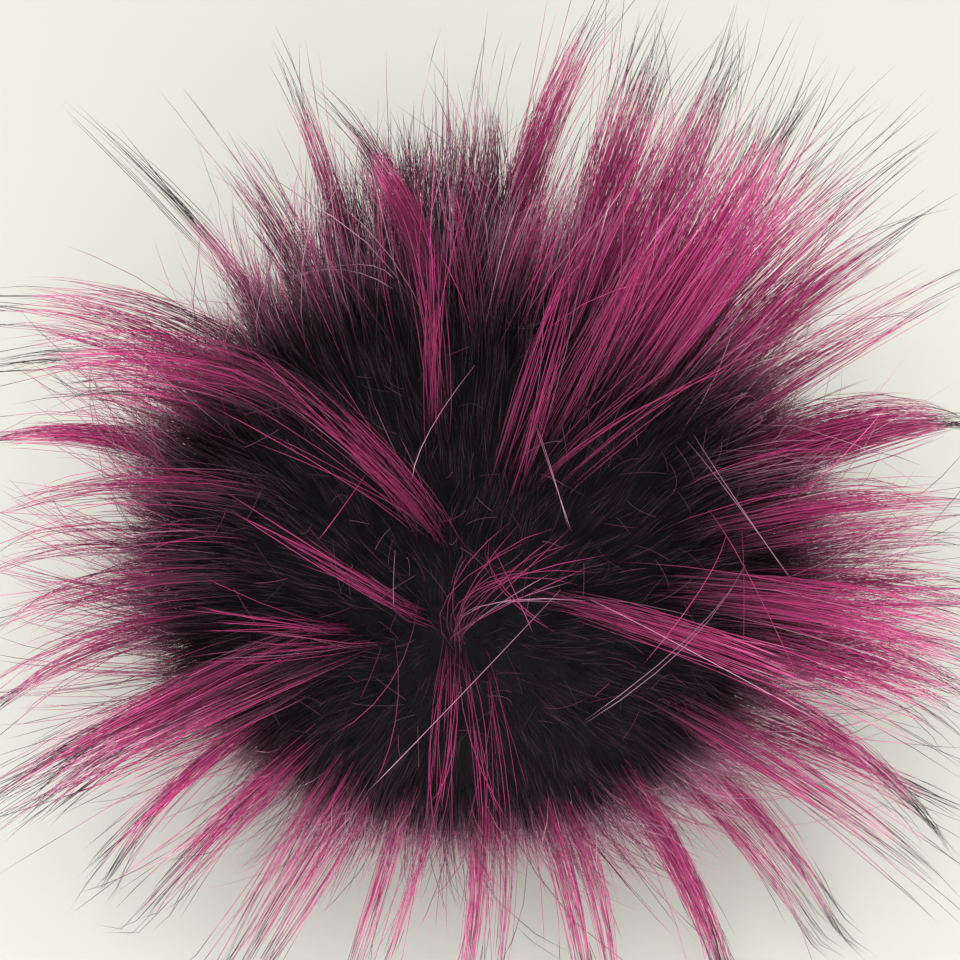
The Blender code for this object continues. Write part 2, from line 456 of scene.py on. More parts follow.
def underfurMaterial():
    material, tree, shader, strands = newStrandMaterial("underfur", underfurFinish)
    dark = addRamp(tree, strands.outputs["Along"], underfurFinish["darkStops"])
    mauve = addRamp(tree, strands.outputs["Along"], underfurFinish["mauveStops"])
    colour = mixColour(tree, strands.outputs["Tone"], dark, mauve)
    setSurface(tree, shader, flickered(tree, strands, colour, underfurFinish), underfurFinish)
    return material


def backingMaterial():
    material, tree, shader, place = newCloudMaterial("pileBase", backingFinish)
    fibre = addNoise(tree, place, backingFinish["fibreScale"], backingFinish["fibreDetail"])
    bump = addNode(tree, "ShaderNodeBump", {"Height": fibre, "Distance": backingFinish["bumpHeight"]})
    bump.inputs["Strength"].default_value = backingFinish["bumpStrength"]
    tree.links.new(bump.outputs["Normal"], shader.inputs["Normal"])
    return material


# Hairs: three-sided strands, joined into one mesh a piece

strand = {
    "floorGap": 0.02 * mm,  # no corner of a strand is lower
    "mapAcross": (0.01, 0.98),  # u is the strand's tone, kept between these
    "mapAlong": (0.01, 0.99),  # and v runs along it
    "mapWidth": 0.0015,  # how wide one side is in the map
    "nearUpright": 0.05,  # closer to upright than this, a direction has no level side
    "scatter": 0.55,  # strands are dense in the middle of a lock and sparse outside
    "scatterLimit": 1.6,
}


# the fixed vectors as arrays
centre, halfSizes, toward, upright = (np.array(vector) for vector in (ballCentre, ballRadii, dialToward, up))


def unit(vectors):
    return vectors / np.maximum(np.linalg.norm(vectors, axis=-1, keepdims=True), tiny)


def napOf(points):
    return unit(points - np.array(napFocus))


def strandCorners(paths, radii):
    # three corners round each place along a strand, and one for its tip
    rings = paths.shape[1] - 1
    ahead = unit(np.gradient(paths, axis=1))[:, :rings]
    chord = paths[:, -1] - paths[:, 0]
    across = unit(np.cross(chord, np.roll(chord, 1, axis=1)))
    first = unit(np.cross(ahead, np.cross(across[:, None], ahead)))
    second = np.cross(ahead, first)
    turns = np.arange(3) * 2 * math.pi / 3
    spokes = first[:, :, None] * np.cos(turns)[:, None] + second[:, :, None] * np.sin(turns)[:, None]
    corners = paths[:, :rings, None] + spokes * radii[:, :, None, None]
    corners[..., 2] = np.maximum(corners[..., 2], strand["floorGap"])
    return np.concatenate((corners.reshape(len(paths), rings * 3, 3), paths[:, -1:]), axis=1)


def strandFaces(rings):
    # corner numbers of one strand's sides, and of its root and tip faces
    side = np.arange(3)
    nextSide = (side + 1) % 3
    ring = np.arange(rings - 1)[:, None] * 3
    quads = np.stack((ring + side, ring + nextSide, ring + 3 + nextSide, ring + 3 + side), axis=-1)
    last = (rings - 1) * 3
    tipFaces = np.stack((last + side, last + nextSide, np.full(3, rings * 3)), axis=-1)
    return quads.reshape(-1, 4), np.vstack(([[0, 2, 1]], tipFaces))


def strandUv(tones, marks, quads):
    rings = marks.shape[1] - 1
    low, high = strand["mapAcross"]
    left = (low + (high - low) * np.clip(tones, 0, 1))[:, None, None]
    low, high = strand["mapAlong"]
    v = low + (high - low) * np.clip(marks, 0, 1)
    side = np.arange(3)
    quadU = np.tile(np.stack((side, side + 1, side + 1, side), axis=-1), (rings - 1, 1))
    triU = np.array([[0, 2, 1], [0, 1, 0.5], [1, 2, 1.5], [2, 3, 2.5]])
    triPlaces = np.array([[0, 0, 1]] + [[rings - 1, rings - 1, rings]] * 3)
    quadUv = np.stack((left + quadU * strand["mapWidth"], v[:, quads // 3]), axis=-1)
    triUv = np.stack((left + triU * strand["mapWidth"], v[:, triPlaces]), axis=-1)
    return np.concatenate((quadUv.reshape(-1, 2), triUv.reshape(-1, 2)))


def strandMesh(name, batches, material):
    # a batch has its strands' paths (strand, place along it, xyz), radii, tones and marks: tones pick a
    # strand's colours, and marks say how far up their ramp each of its places is
    paths, radii, tones, marks = (np.concatenate(part) for part in zip(*batches))
    verts = strandCorners(paths, radii)
    count, cornersEach, _ = verts.shape
    quads, tris = strandFaces(paths.shape[1] - 1)
    starts = (np.arange(count) * cornersEach)[:, None, None]
    faceCorners = np.concatenate(((quads + starts).ravel(), (tris + starts).ravel()))
    quadCount, triCount = count * len(quads), count * len(tris)
    faceStarts = np.concatenate((np.arange(quadCount) * 4, quadCount * 4 + np.arange(triCount) * 3))

    mesh = bpy.data.meshes.new(name)
    mesh.vertices.add(count * cornersEach)
    mesh.vertices.foreach_set("co", verts.astype(np.float32).ravel())
    mesh.loops.add(len(faceCorners))
    mesh.loops.foreach_set("vertex_index", faceCorners.astype(np.int32))
    mesh.polygons.add(len(faceStarts))
    mesh.polygons.foreach_set("loop_start", faceStarts.astype(np.int32))
    mesh.update(calc_edges=True)
    uvs = strandUv(tones, marks, quads).astype(np.float32)
    mesh.uv_layers.new(name="OFBake").uv.foreach_set("vector", uvs.ravel())
    mesh.shade_smooth()
    mesh.materials.append(material)
    piece = bpy.data.objects.new(name, mesh)
    bpy.context.collection.objects.link(piece)
    print(name, "strands", count, "triangles", quadCount * 2 + triCount)
    return piece


def squareTo(directions):
    # two unit vectors across each direction
    level = np.cross(upright, directions)
    level[np.linalg.norm(level, axis=-1) < strand["nearUpright"]] = np.array(dialRight)
    level = unit(level - directions * (level * directions).sum(-1, keepdims=True))
    return level, np.cross(directions, level)


def smoothstep(low, high, values):
    share = np.clip((values - low) / (high - low), 0, 1)
    return share * share * (3 - 2 * share)


def scattered(rng, count):
    limit = strand["scatterLimit"]
    return np.clip(rng.normal(0, strand["scatter"], (count, 2)), -limit, limit)


def curved(start, bend, end, share):
    return start * (1 - share) ** 2 + bend * 2 * share * (1 - share) + end * share ** 2


def liftOffFloor(paths, look, rng):
    # each hair is held at its own height
    lift = rng.uniform(*look["lift"], len(paths))[:, None] * mm
    paths[..., 2] = np.maximum(paths[..., 2], lift)


def hued(rng, tones, vivid):
    # moves this share of the tones to the magenta half and the others to the mauve half
    return (tones + (rng.uniform(0, 1, len(tones)) < vivid)) / 2


def outOfBase(points, room):
    # pushes points out of the pile's base, sideways where they are low
    radii = halfSizes + room[..., None]
    offset = points - centre
    depth = np.linalg.norm(offset / radii, axis=-1)
    inside = depth < 1
    above = inside & (offset[..., 2] >= 0)
    below = inside & (offset[..., 2] < 0)
    moved = offset.copy()
    moved[above] /= depth[above][:, None]
    low = offset[below]
    level = unit(low * (1, 1, 0)) * radii[below][:, :1]
    high = np.clip(1 - (low[:, 2] / radii[below][:, 2]) ** 2, 0, 1)
    moved[below] = level * np.sqrt(high)[:, None] + upright * low[:, 2:]
    return moved + centre


def hairPaths(roots, tips, reach, colourFrom, look, rng):
    # each hair's own path from root to tip, by the rule of the lock it is in
    count = len(roots)
    way = tips - roots
    length = np.linalg.norm(way, axis=-1, keepdims=True)
    nap = napOf(roots)
    pressed = np.where(tips[:, 2:] < lock["floorReach"], lock["floorPress"], 0) * upright
    knee = roots + (nap * lock["napShare"] * length + way * (1 - lock["napShare"])) * lock["kneeShare"]
    knee = knee + rng.normal(0, look["bow"], (count, 3)) * length
    start = roots - nap * look["sunk"]
    fine = np.linspace(0, 1, look["fineSteps"])
    shares = reach[:, None] * fine[None]
    points = curved(start[:, None], knee[:, None], (tips - pressed)[:, None], shares[..., None])
    room = -look["sunk"] + (look["clear"] + look["sunk"]) * smoothstep(0, look["clearAt"], shares)
    points = outOfBase(points, room)
    liftOffFloor(points, look, rng)
    for _ in range(look["smoothing"]):
        points[:, 1:-1] = (points[:, :-2] + points[:, 1:-1] * 2 + points[:, 2:]) / 4
    chosen = np.round(np.array(look["places"]) * (look["fineSteps"] - 1)).astype(int)
    points = points[:, chosen]
    shares = shares[:, chosen]
    thickness = rng.uniform(*look["thickness"], count)[:, None] * mm / 2
    radii = thickness * (1 - look["thinning"] * fine[chosen][:-1] ** 2)
    # partly painted shade: a hair stays on the dark start of the ramp until colourFrom, about where its lock
    # leaves the dark core, and colourTo caps how light it gets
    colourFrom = (colourFrom * rng.uniform(*look["ragged"], count))[:, None]
    coloured = (shares - colourFrom) / (1 - colourFrom)
    marks = np.where(coloured < 0, look["colourStart"] * shares / colourFrom,
                     look["colourStart"] + coloured * (look["colourTo"] - look["colourStart"]))
    dark = rng.uniform(0, 1, count) < smoothstep(*look["darkTips"], reach)
    marks[dark, -2:] = look["darkMarks"]
    return points, radii, marks


def lockHairs(root, tip, hairs, rootWide, tipWide, colourFrom, look, rng):
    # the hairs of one lock, gathered in wisps
    root, tip = np.array(root), np.array(tip)
    hairs = round(hairs * look["fullness"])
    rootSide, rootAbove = squareTo(napOf(root)[None])
    tipSide, tipAbove = squareTo(unit(tip - root)[None])
    wisps = max(look["fewestWisps"], hairs // look["wispHairs"])
    wisp = rng.integers(0, wisps, hairs)
    wispNear = scattered(rng, wisps)
    wispFar = wispNear * look["keeping"] + scattered(rng, wisps) * (1 - look["keeping"])
    near = wispNear[wisp] + scattered(rng, hairs) * look["wispRoot"]
    free = np.where(rng.uniform(0, 1, hairs) < look["free"], look["freeSpread"], look["wispTip"])[:, None]
    far = wispFar[wisp] + scattered(rng, hairs) * free
    roots = root + (near[:, :1] * rootSide + near[:, 1:] * rootAbove) * rootWide * mm
    roots = roots + rng.normal(0, look["rootTrail"], hairs)[:, None] * unit(tip - root)
    tips = tip + (far[:, :1] * tipSide + far[:, 1:] * tipAbove) * tipWide * mm
    tips[:, 2] = np.maximum(tips[:, 2], 0)
    shortest, longest = look["lengths"]
    reach = longest - (longest - shortest) * rng.uniform(0, 1, hairs) ** look["lengthPower"]
    reach = reach * rng.uniform(look["shortestWisp"], 1, wisps)[wisp]
    stands = rng.uniform(0, 1, hairs) < look["overlong"]
    if tip[2] > look["overlongAbove"]:
        reach[stands] = rng.uniform(*look["overlongReach"], stands.sum())
    wispTones = rng.uniform(0, 1, wisps)[wisp]
    tones = wispTones * look["wispTone"] + rng.uniform(0, 1, hairs) * (1 - look["wispTone"])
    tones = hued(rng, tones, look["vivid"])
    points, radii, marks = hairPaths(roots, tips, reach, colourFrom, look, rng)
    return points, radii, tones, marks


# Short dense underfur over a dark base

baseShape = {
    "inset": 2.6 * mm,  # how deep the base lies under the ball's surface
    "subdivisions": 5,
    "lumpSize": 0.5,
    "lumpHeight": 0.035,
    "cutThreshold": 1e-7,
}

underfur = {
    "hairs": 50000,  # before those of the dark face and the foot are left out
    "jitter": 0.012,
    "clumps": 1900,  # neighbouring hairs lean to the middle of their clump
    "clumpJitter": 0.02,
    "clumping": 0.5,
    "leastClumping": 0.3,
    "clumpLengths": (0.8, 1.15),
    "lengths": (4.0, 8.5),  # mm past the base's surface
    "rimLonger": 0.45,
    "underShorter": 0.7,
    "underSide": (0.3, -0.3),  # cosines to upright where the underside begins and is full
    "lay": 0.75,  # how far the fur leans away from the whorl
    "whorl": (-3, -9),  # its middle on the dial
    "whorlWidth": 0.3,
    "unrest": 0.22,
    "hairUnrest": 0.14,
    "arch": 0.12,
    "frontHalf": math.pi / 3,  # the front piece reaches this far round to either side
    "faceThinning": 0.35,  # share of hairs left out on the dark face
    "faceEdge": (0.3, 0.7),
    "thickness": (0.036, 0.062),
    "thinning": 0.5,
    "tone": 0.07,
    # painted back-light: how far fur seen edge on or from below moves to the mauve ramp, while fur facing
    # the sight line stays dark
    "paintedRimGlow": 0.73,
    "toneUnrest": 0.07,
    "sunk": 1.6 * mm,
    "lowestRoot": 1.0 * mm,
    "lowestTip": 0.4 * mm,
    "lift": (0.1, 1.2),  # mm that a hair is held above the floor
    "seed": 11,
}

rim = {
    "facing": (0.6, 0.0),  # cosines to the sight line where the rim begins and is full
    "slope": (0.3, -0.15),  # and to upright, for the underside
}


def deselectAll():
    for item in bpy.context.selected_objects:
        item.select_set(False)


def addPileBase(material):
    deselectAll()
    bpy.ops.mesh.primitive_ico_sphere_add(subdivisions=baseShape["subdivisions"], radius=1)
    base = bpy.context.active_object
    base.name = "pile_base"
    lumps = bpy.data.textures.new("lumps", "CLOUDS")
    lumps.noise_scale = baseShape["lumpSize"]
    displace = base.modifiers.new("lumps", "DISPLACE")
    displace.texture = lumps
    displace.strength = baseShape["lumpHeight"]
    bpy.ops.object.modifier_apply(modifier=displace.name)
    radii = ballRadii - Vector((1, 1, 1)) * baseShape["inset"]
    bpy.ops.object.mode_set(mode="EDIT")
    bpy.ops.mesh.select_all(action="SELECT")
    bpy.ops.transform.resize(value=radii)
    bpy.ops.transform.translate(value=ballCentre)
    bpy.ops.mesh.bisect(plane_co=(0, 0, 0), plane_no=up, use_fill=True, clear_inner=True,
                        threshold=baseShape["cutThreshold"])
    bpy.ops.object.mode_set(mode="OBJECT")
    base.data.shade_smooth()
    base.data.materials.append(material)
    print("pile_base triangles", sum(len(face.vertices) - 2 for face in base.data.polygons))
    return base


def evenSpots(count, rng, jitter):
    return unit(spiralSpots(count) + rng.normal(0, jitter, (count, 3)))


def onBase(spots):
    return centre + spots * (halfSizes - baseShape["inset"])


def outOf(spots):
    return unit(spots / halfSizes)


def rimShare(outward):
    # 1 on the fur that the photo sees edge on, and on the underside
    facing = outward @ toward
    return np.maximum(smoothstep(*rim["facing"], facing), smoothstep(*rim["slope"], outward[:, 2]))


def awayFromWhorl(spots):
    whorl = np.array((dialRoot(*underfur["whorl"]) - ballCentre).normalized())
    return spots - (spots @ whorl)[:, None] * whorl


def underfurSpots(rng):
    spots = evenSpots(underfur["hairs"], rng, underfur["jitter"])
    facing = outOf(spots) @ toward
    thinning = underfur["faceThinning"] * smoothstep(*underfur["faceEdge"], facing)
    kept = rng.uniform(0, 1, len(spots)) >= thinning
    return spots[kept & (onBase(spots)[:, 2] > underfur["lowestRoot"])]


def underfurClumps(spots, rng):
    # each hair's clump: its root, its direction, its lean and its length
    middles = evenSpots(underfur["clumps"], rng, underfur["clumpJitter"])
    tree = kdtree.KDTree(len(middles))
    for index, middle in enumerate(middles):
        tree.insert(middle, index)
    tree.balance()
    clump = np.array([tree.find(spot)[1] for spot in spots])
    lean = rng.normal(0, underfur["unrest"], (len(middles), 3))
    length = rng.uniform(*underfur["clumpLengths"], len(middles))
    direction = unit(outOf(middles) + lean)
    direction = unit(direction + unit(awayFromWhorl(middles)) * underfur["lay"])
    return (rows[clump] for rows in (onBase(middles), direction, lean, length))


def underfurEnds(rng):
    # spots, directions out of the base, lengths, and the hairs' roots and tips
    spots = underfurSpots(rng)
    outward = outOf(spots)
    roots = onBase(spots)
    clumpRoot, clumpDirection, clumpLean, clumpLength = underfurClumps(spots, rng)
    away = awayFromWhorl(spots)
    away = unit(away) * smoothstep(0, underfur["whorlWidth"], np.linalg.norm(away, axis=-1))[:, None]
    hairLean = rng.normal(0, underfur["hairUnrest"], roots.shape)
    direction = unit(outward + away * underfur["lay"] + clumpLean + hairLean)
    length = rng.uniform(*underfur["lengths"], len(roots)) * mm * clumpLength
    under = smoothstep(*underfur["underSide"], outward[:, 2])
    length *= 1 + underfur["rimLonger"] * rimShare(outward) - underfur["underShorter"] * under
    tips = roots + direction * length[:, None]
    gathered = clumpRoot + clumpDirection * length[:, None]
    pull = underfur["clumping"] * rng.uniform(underfur["leastClumping"], 1, len(roots))[:, None]
    tips += (gathered - tips) * pull
    clear = tips[:, 2] > underfur["lowestTip"]
    return (rows[clear] for rows in (spots, outward, length, roots, tips))


def growUnderfur(material):
    rng = np.random.default_rng(underfur["seed"])
    spots, outward, length, roots, tips = underfurEnds(rng)
    start = roots - outward * underfur["sunk"]
    middle = (start + tips) / 2 + outward * (length * underfur["arch"])[:, None]
    paths = np.stack((start, middle, tips), axis=1)
    liftOffFloor(paths[:, 1:], underfur, rng)
    radii = rng.uniform(*underfur["thickness"], len(roots))[:, None] * mm / 2
    radii = radii * (1, 1 - underfur["thinning"] / 4)
    marks = np.broadcast_to(np.linspace(0, 1, paths.shape[1]), paths.shape[:2])
    unrest = rng.normal(0, underfur["toneUnrest"], len(roots))
    # painted light: fur facing the sight line stays on the dark ramp, and fur seen edge on and underneath
    # moves to the mauve one as if lit from behind
    tones = underfur["tone"] + underfur["paintedRimGlow"] * rimShare(outward) + unrest
    turn = np.arctan2(spots[:, 0], -spots[:, 1])
    front = np.abs(turn) < underfur["frontHalf"]
    sectors = {
        "underfur_front": front,
        "underfur_right": ~front & (turn > 0),
        "underfur_left": ~front & (turn < 0),
    }
    pieces = []
    for name, chosen in sectors.items():
        batch = (paths[chosen], radii[chosen], tones[chosen], marks[chosen])
        pieces.append(strandMesh(name, [batch], material))
    return pieces


# Main locks: millimetres on the dial, then how many hairs and how wide they spread

mainLockRows = (
    # rootX, rootY, tipX, tipY, depth, hairs, rootWide, tipWide, colourFrom, kind
    # upper left
    (-25, 28, -48, 53, 4, 32, 1, 2.2, 0.06, "inky"),
    (-21, 34, -33, 50, -12, 110, 2.8, 6, 0.15, "mauve"),
    (-17, 38, -23, 57, -12, 80, 1.6, 3, 0.15, "plain"),
    # crown
    (-4, 30, -15, 51, 14, 130, 1.6, 2.4, 0.26, "face"),
    (1, 27, -6, 52, 12, 24, 1.6, 2.5, 0.20, "face"),
    (-3, 16, -5, 42, 36, 26, 2, 4, 0.08, "short"),
    (5, 10, 12, 36, 38, 34, 2.4, 5, 0.10, "short"),
    (11, 15, 22, 38, 28, 40, 3, 6, 0.12, "short"),
    (10, 9, 31, 24, 34, 16, 2, 4, 0.10, "short"),
    (-6, 43, -3, 61, -22, 100, 4, 6, 0.24, "mauve"),
    # upper right fan
    (4, 41, 15, 63, -14, 200, 2, 4, 0.10, "bright"),
    (13, 35, 23, 63, -10, 270, 3.2, 5, 0.08, "fan"),
    (17, 27, 31, 59, -4, 330, 4.2, 5.5, 0.12, "fan"),
    (21, 22, 40, 55, 6, 350, 4.2, 6, 0.17, "fan"),
    (26, 27, 50, 49, 0, 230, 4, 5.5, 0.13, "fan"),
    (31, 23, 55, 40, -6, 140, 3.4, 4, 0.12, "fan"),
    # right
    (37, 22, 53, 27, -20, 22, 2.6, 3, 0.10, "bright"),
    (32, 15, 60, 31, 8, 45, 2.2, 3, 0.15, "plain"),
    (39, 14, 49, 16, -24, 16, 2, 2, 0.20, "mauve"),
    (35, 10, 58, 14, -12, 340, 2.6, 0.9, 0.10, "bright"),
    (38, 5, 52, 5, -18, 60, 2.4, 2.5, 0.15, "plain"),
    (30, 1, 60, 4, 4, 80, 2, 1.8, 0.20, "bright"),
    (38, -3, 58, -4, -8, 90, 3, 5.5, 0.10, "plain"),
    (28, -5, 62, -12, 8, 130, 3, 5.5, 0.14, "plain"),
    (10, -6, 55, -22, 20, 52, 1.6, 5, 0.10, "face"),
    # lower right
    (33, -17, 56, -37, 4, 66, 1.8, 2, 0.10, "low"),
    (26, -20, 58, -43, 10, 70, 1.6, 2.4, 0.16, "low"),
    (27, -27, 46, -50, 4, 90, 2.6, 3, 0.03, "low"),
    # bottom
    (20, -30, 32, -58, 8, 110, 1.8, 2.8, 0.02, "low"),
    (11, -33, 16, -60, 8, 76, 2.6, 3.6, 0.02, "low"),
    (3, -35, -2, -60, 8, 50, 2, 3.4, 0.02, "low"),
    (-8, -33, -19, -57, 8, 40, 2.6, 4, 0.03, "low"),
    # lower left
    (-15, -30, -32, -54, 6, 60, 3, 4, 0.04, "low"),
    (-21, -26, -44, -46, 4, 56, 2.6, 3.5, 0.05, "low"),
    (-28, -22, -47, -41, 2, 60, 1.6, 2, 0.08, "low"),
    (-30, -17, -54, -34, 4, 60, 2, 2.6, 0.12, "low"),
    (-20, -13, -58, -32, 14, 150, 3, 3, 0.34, "low"),
    # left
    (-37, -9, -59, -20, 2, 56, 2.2, 3, 0.14, "bright"),
    (-31, -4, -59, -12, 8, 72, 3, 4, 0.36, "bright"),
    (-38, 2, -59, -3, -6, 30, 2.6, 4, 0.25, "bright"),
    (-27, 6, -58, 4, 10, 50, 2.2, 3, 0.42, "bright"),
    (-36, 12, -60, 12, -6, 130, 2.2, 1.6, 0.16, "bright"),
    (-30, 16, -55, 16, 14, 40, 2, 3.5, 0.30, "inky"),
    (-21, 18, -59, 21, 8, 98, 3, 4.4, 0.24, "plain"),
    (-34, 20, -59, 26, -12, 90, 2.4, 3.5, 0.20, "bright"),
    (-28, 24, -56, 31, -2, 50, 2.4, 4, 0.36, "bright"),
    # over the whorl
    (-16, -11, -34, -10, 34, 26, 1.6, 5, 0.06, "short"),
    (-8, -8, -26, 2, 37, 26, 1.6, 3.2, 0.05, "short"),
    (-6, 3, -23, 21, 37, 66, 2, 4, 0.05, "short"),
    (-4, -14, -8, -38, 28, 8, 0.6, 6, 0.05, "short"),
    (2, -16, 5, -38, 28, 8, 0.6, 4.5, 0.05, "short"),
)

# what sets a kind of lock apart from mainLook
lockKinds = {
    "plain": {"vivid": 0.9, "colourTo": 0.66, "darkTips": (0.8, 1.05)},
    "bright": {"vivid": 0.95, "colourStart": 0.24, "colourTo": 0.64, "darkTips": (0.95, 1.12)},
    "fan": {
        "vivid": 0.95, "colourStart": 0.30, "colourTo": 0.66, "darkTips": (0.72, 0.95), "free": 0.25,
        "lengths": (0.42, 1.05), "lengthPower": 0.8, "overlong": 0.05, "overlongReach": (1.04, 1.16),
    },
    "low": {"vivid": 0.92, "colourStart": 0.24, "colourTo": 0.68, "darkTips": (0.35, 0.8), "bow": 0.02},
    "mauve": {
        "vivid": 0.3, "colourTo": 0.58, "darkTips": (0.8, 1.1),
        "lengths": (0.35, 0.92), "overlong": 0.03,
    },
    "plum": {
        "vivid": 0.3, "colourStart": 0.1, "colourTo": 0.34, "darkTips": (1.2, 1.5),
        "lengths": (0.5, 1.0), "overlong": 0,
    },
    "inky": {
        "vivid": 0.95, "colourTo": 1.35, "darkTips": (0.75, 1.0),
        "lengths": (0.5, 1.0), "overlongReach": (1.0, 1.06),
    },
    # face and short locks lie over the dark face: their ramp stops early, which is painted shade on hairs
    # over the core
    "face": {"vivid": 0.95, "colourTo": 0.42, "darkTips": (0.65, 0.9)},
    "short": {"vivid": 0.96, "colourTo": 0.33, "darkTips": (1.2, 1.5)},
}

mainLook = {
    # each kind of lock adds vivid, its share of magenta hairs, colourTo, where the colour ramp ends,
    # and darkTips, the reach at which black tips begin and at which all hairs have them
    "places": (0, 0.16, 0.38, 0.62, 0.87, 1),  # where a hair has its sections
    "fineSteps": 31,
    "smoothing": 4,
    "lift": (0.06, 1.3),  # mm that a hair is held above the floor
    "lengths": (0.45, 1.1),  # of the lock's own length
    "lengthPower": 0.95,  # under 1 makes long hairs fewer
    # the dark start is partly the hair's own dark root and partly painted shade where the lock lies over the
    # dark core
    "colourStart": 0.2,  # where the colour ramp leaves its dark root
    "ragged": (0.5, 2.4),  # how unevenly a lock's hairs leave it
    "darkMarks": (0.86, 1.0),  # the ramp's place at a dark hair's last section and tip
    "overlong": 0.07,  # share of hairs that stand out past the lock
    "overlongReach": (1.08, 1.24),
    "overlongAbove": 12 * mm,
    "keeping": 0.6,  # how far a wisp keeps its place in the lock
    "wispHairs": 20,
    "fewestWisps": 3,
    "wispRoot": 0.5,
    "wispTip": 0.16,
    "rootTrail": 2.0 * mm,  # roots are strung out this far along the lock
    "free": 0.28,  # share of hairs that leave their wisp
    "freeSpread": 1.4,
    "shortestWisp": 0.85,
    "wispTone": 0.4,
    "bow": 0.035,
    "sunk": 4.5 * mm,
    "clear": 2.2 * mm,
    "clearAt": 0.4,
    "thickness": (0.065, 0.105),
    "thinning": 0.25,
    "fullness": 1.15,  # of the hairs that the rows ask for
    "seed": 21,
}

sideLook = {
    **mainLook,
    "places": (0, 0.22, 0.5, 0.84, 1),
    "hairs": (34, 62),
    "frontThinning": 0.7,
    "frontEdge": (-0.1, 0.4),  # cosines to the sight line where the front begins and is full
    "edgeThinning": 0.6,
    "outerEdge": (-0.5, 0.0),
    "gapShare": 0.8,  # a lock is left out if this much of its way leads into a gap
    "rootWide": (2.0, 3.6),
    "tipWide": (2.0, 5.0),
    "darkTips": (0.85, 1.15),
    "overlong": 0.02,
    "colourFromBehind": 0.04,  # where the colour begins on locks behind the rim
    # locks facing the sight line keep their dark start longer, which is painted shade over the dark face
    "colourFromFront": 0.35,
    "colourStart": 0.32,
    "colourTo": 0.66,
    "fanRightOf": 4 * mm,  # the upper right fan is brighter and fuller
    "fanAbove": 17 * mm,
    "vividFan": 0.85,
    "vividElsewhere": (0.15, 0.3, 0.6),
    "lengths": (0.42, 1.04),
    "keeping": 0.4,
    "bow": 0.045,
    "seed": 22,
}

looseLook = {
    **sideLook,
    "places": (0, 0.15, 0.35, 0.58, 0.8, 1),
    "hairs": 1200,
    "jitter": 0.03,
    "lengths": (0.4, 1.05),
    "colourFrom": 0.15,
    "spread": 0.2,
    "bow": 0.02,
    "seed": 23,
}

# softer tufts between the main locks, in the same columns
softTuftRows = (
    (1, 40, 3, 57, -10, 130, 4.5, 6, 0.26, "mauve"),
    (-12, 40, -14, 54, -12, 110, 4, 5, 0.26, "mauve"),
    (-13, 34, -16, 48, -2, 180, 5, 5.5, 0.30, "plum"),
    (-4, 36, -4, 51, -2, 180, 5, 5.5, 0.30, "plum"),
    (-9, 41, -9, 52, -10, 130, 4.5, 4.5, 0.30, "plum"),
    (1, 41, 1, 53, -10, 130, 4, 4, 0.30, "plum"),
    (-25, 29, -31, 36, 0, 50, 3, 3, 0.26, "plum"),
    (9, 30, 14, 48, 8, 120, 4.5, 5, 0.10, "mauve"),
    (15, 22, 24, 44, 14, 110, 4.5, 5, 0.15, "plain"),
    (33, 8, 47, 8, 6, 80, 5, 5, 0.15, "mauve"),
    (30, 16, 36, 16, 10, 30, 4, 3, 0.20, "mauve"),
    (-33, -2, -47, -4, 4, 50, 5, 5, 0.15, "mauve"),
    (36, -10, 61, -17, 2, 140, 4, 6, 0.12, "plain"),
    (34, -12, 57, -22, 3, 110, 3.5, 5, 0.12, "plain"),
    (38, -6, 66, -8, 0, 60, 4, 5, 0.14, "low"),
    (33, -20, 60, -32, 4, 44, 3.4, 5, 0.14, "low"),
    (-30, -15, -57, -28, 6, 90, 3, 4, 0.20, "low"),
    (-33, 17, -50, 20, -6, 60, 3, 3, 0.20, "bright"),
)

# gaps in which the floor shows between the locks: millimetres on the dial
gapRows = (
    # x, y, reach
    (46, 21, 6),
    (55, 20, 4),
    (49, 10, 4.5),
    (56, 9, 4),
    (-43, 26, 3),
    (-49, 15, 3),
    (-52, 11, 3),
    (-48, 4, 4),
    (-50, -4, 3),
    (-46, -17, 4.5),
    (-35, -28, 5),
    (-25, -34, 3.5),
    (-13, -46, 4),
    (-4, -43, 3),
    (7, -45, 3),
    (20, -46, 3),
    (35, -45, 5),
    (40, -18, 3.5),
    (11, 47, 3.5),
    (-28, 44, 3.5),
    (-31, 37, 3.5),
    (-38, 33, 5),
)


def onDial(points):
    sight = points - np.array(eye)
    depth = -(sight @ toward)
    across = np.stack((sight @ np.array(dialRight), sight @ np.array(dialUp)), axis=-1)
    return across * (view["eyeDistance"] / depth)[..., None] / mm


def inGap(tips):
    places = onDial(tips)
    gaps = np.array(gapRows)
    distance = np.linalg.norm(places[:, None] - gaps[None, :, :2], axis=-1)
    return (distance < gaps[:, 2]).any(axis=1)


def sideMeshes(name, locks, material):
    # locks: each one's root and its batch of hairs
    left = [hairs for root, hairs in locks if root.x < 0]
    right = [hairs for root, hairs in locks if root.x >= 0]
    return [strandMesh(name + "_left", left, material), strandMesh(name + "_right", right, material)]


def growMainLocks(ends, material):
    rng = np.random.default_rng(mainLook["seed"])
    locks = []
    for (root, tip), row in zip(ends, mainLockRows + softTuftRows):
        look = {**mainLook, **lockKinds[row[-1]]}
        locks.append((root, lockHairs(root, tip, *row[5:-1], look, rng)))
    return sideMeshes("main_locks", locks, material)


